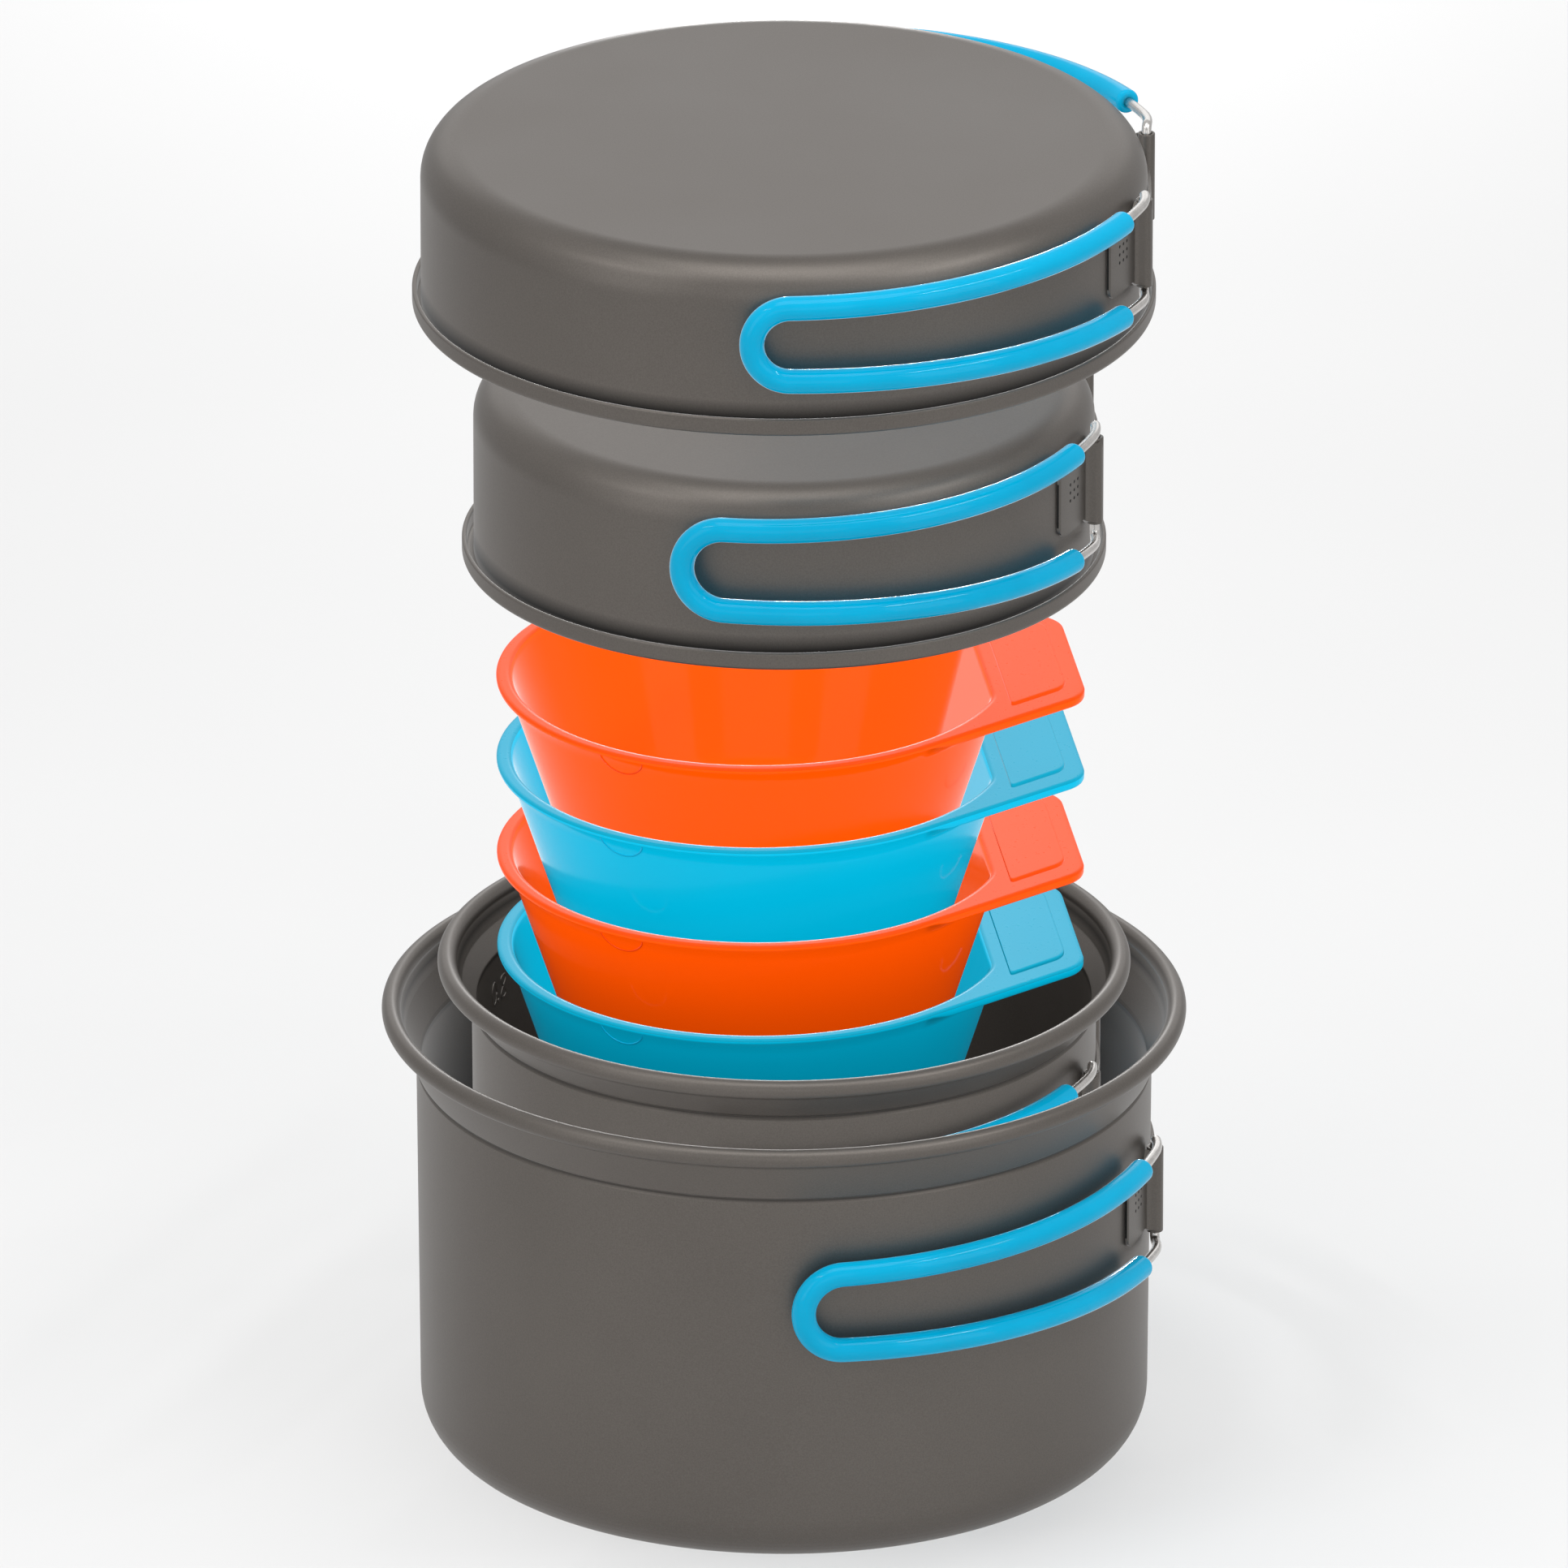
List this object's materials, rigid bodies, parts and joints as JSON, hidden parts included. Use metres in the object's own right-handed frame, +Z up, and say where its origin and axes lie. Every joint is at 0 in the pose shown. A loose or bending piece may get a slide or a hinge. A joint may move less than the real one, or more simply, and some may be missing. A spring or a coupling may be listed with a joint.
{
  "type": "camping cook set",
  "caption": "Nesting camp cook set: pots and lid pans with folding wire handles round stackable tabbed bowls, shown lifted apart in a column.",
  "frame": {"origin": "middle of the large pot's underside, on the pots' common axis", "axes": "+Z up along the pots' common axis, +X towards the side that carries the handle brackets"},
  "size_m": [0.1976, 0.1976, 0.3408],
  "materials": {
    "anodised_metal": "dark hard-anodised satin",
    "bracket_metal": "satin",
    "bright_wire": "satin",
    "blue_sleeve": "semi-gloss",
    "blue_plastic": "gloss",
    "orange_plastic": "gloss"
  },
  "bodies": {
    "large_pot": {"large_pot_shell": "anodised_metal", "large_pot_bracket": "bracket_metal"},
    "medium_pot": {"medium_pot_shell": "anodised_metal", "medium_pot_bracket": "bracket_metal"},
    "bowl_1": {"bowl_1": "blue_plastic"},
    "bowl_2": {"bowl_2": "orange_plastic"},
    "bowl_3": {"bowl_3": "blue_plastic"},
    "bowl_4": {"bowl_4": "orange_plastic"},
    "small_pan": {"small_pan_shell": "anodised_metal", "small_pan_bracket": "bracket_metal"},
    "large_pan": {"large_pan_shell": "anodised_metal", "large_pan_bracket": "bracket_metal"},
    "large_pot_front_handle": {"large_pot_front_handle_wire": "bright_wire", "large_pot_front_handle_sleeve": "blue_sleeve"},
    "large_pot_back_handle": {"large_pot_back_handle_wire": "bright_wire", "large_pot_back_handle_sleeve": "blue_sleeve"},
    "medium_pot_front_handle": {"medium_pot_front_handle_wire": "bright_wire", "medium_pot_front_handle_sleeve": "blue_sleeve"},
    "medium_pot_back_handle": {"medium_pot_back_handle_wire": "bright_wire", "medium_pot_back_handle_sleeve": "blue_sleeve"},
    "large_pan_front_handle": {"large_pan_front_handle_wire": "bright_wire", "large_pan_front_handle_sleeve": "blue_sleeve"},
    "large_pan_back_handle": {"large_pan_back_handle_wire": "bright_wire", "large_pan_back_handle_sleeve": "blue_sleeve"},
    "small_pan_front_handle": {"small_pan_front_handle_wire": "bright_wire", "small_pan_front_handle_sleeve": "blue_sleeve"},
    "small_pan_back_handle": {"small_pan_back_handle_wire": "bright_wire", "small_pan_back_handle_sleeve": "blue_sleeve"}
  },
  "joints": [
    {"name": "medium_pot_lift", "type": "slide", "parent": "large_pot", "child": "medium_pot", "axis": [0, 0, 1], "range_m": [-0.0253, 0.09]},
    {"name": "bowl_1_lift", "type": "slide", "parent": "medium_pot", "child": "bowl_1", "axis": [0, 0, 1], "range_m": [-0.053, 0.048]},
    {"name": "bowl_2_lift", "type": "slide", "parent": "bowl_1", "child": "bowl_2", "axis": [0, 0, 1], "range_m": [-0.017, 0.026]},
    {"name": "bowl_3_lift", "type": "slide", "parent": "bowl_2", "child": "bowl_3", "axis": [0, 0, 1], "range_m": [-0.0174, 0.026]},
    {"name": "bowl_4_lift", "type": "slide", "parent": "bowl_3", "child": "bowl_4", "axis": [0, 0, 1], "range_m": [-0.014, 0.029]},
    {"name": "small_pan_lift", "type": "slide", "parent": "bowl_4", "child": "small_pan", "axis": [0, 0, 1], "range_m": [-0.0126, 0.015]},
    {"name": "large_pan_lift", "type": "slide", "parent": "small_pan", "child": "large_pan", "axis": [0, 0, 1], "range_m": [-0.0543, 0.015]},
    {"name": "large_pot_front_handle_hinge", "type": "hinge", "parent": "large_pot", "child": "large_pot_front_handle", "pos_m": [0.09113, -0.01645, 0.0704], "axis": [0, 0, 1], "range_deg": [0, 136]},
    {"name": "large_pot_back_handle_hinge", "type": "hinge", "parent": "large_pot", "child": "large_pot_back_handle", "pos_m": [0.08825, 0.02805, 0.0704], "axis": [0, 0, -1], "range_deg": [0, 136]},
    {"name": "medium_pot_front_handle_hinge", "type": "hinge", "parent": "medium_pot", "child": "medium_pot_front_handle", "pos_m": [0.07549, -0.02296, 0.0931], "axis": [0, 0, 1], "range_deg": [0, 2]},
    {"name": "medium_pot_back_handle_hinge", "type": "hinge", "parent": "medium_pot", "child": "medium_pot_back_handle", "pos_m": [0.07587, 0.02164, 0.0931], "axis": [0, 0, -1], "range_deg": [0, 2]},
    {"name": "large_pan_front_handle_hinge", "type": "hinge", "parent": "large_pan", "child": "large_pan_front_handle", "pos_m": [0.08723, -0.02429, 0.3229], "axis": [0, 0, 1], "range_deg": [0, 136]},
    {"name": "large_pan_back_handle_hinge", "type": "hinge", "parent": "large_pan", "child": "large_pan_back_handle", "pos_m": [0.08824, 0.0203, 0.3229], "axis": [0, 0, -1], "range_deg": [0, 136]},
    {"name": "small_pan_front_handle_hinge", "type": "hinge", "parent": "small_pan", "child": "small_pan_front_handle", "pos_m": [0.07559, -0.01902, 0.259], "axis": [0, 0, 1], "range_deg": [0, 136]},
    {"name": "small_pan_back_handle_hinge", "type": "hinge", "parent": "small_pan", "child": "small_pan_back_handle", "pos_m": [0.07365, 0.02554, 0.259], "axis": [0, 0, -1], "range_deg": [0, 136]}
  ]
}
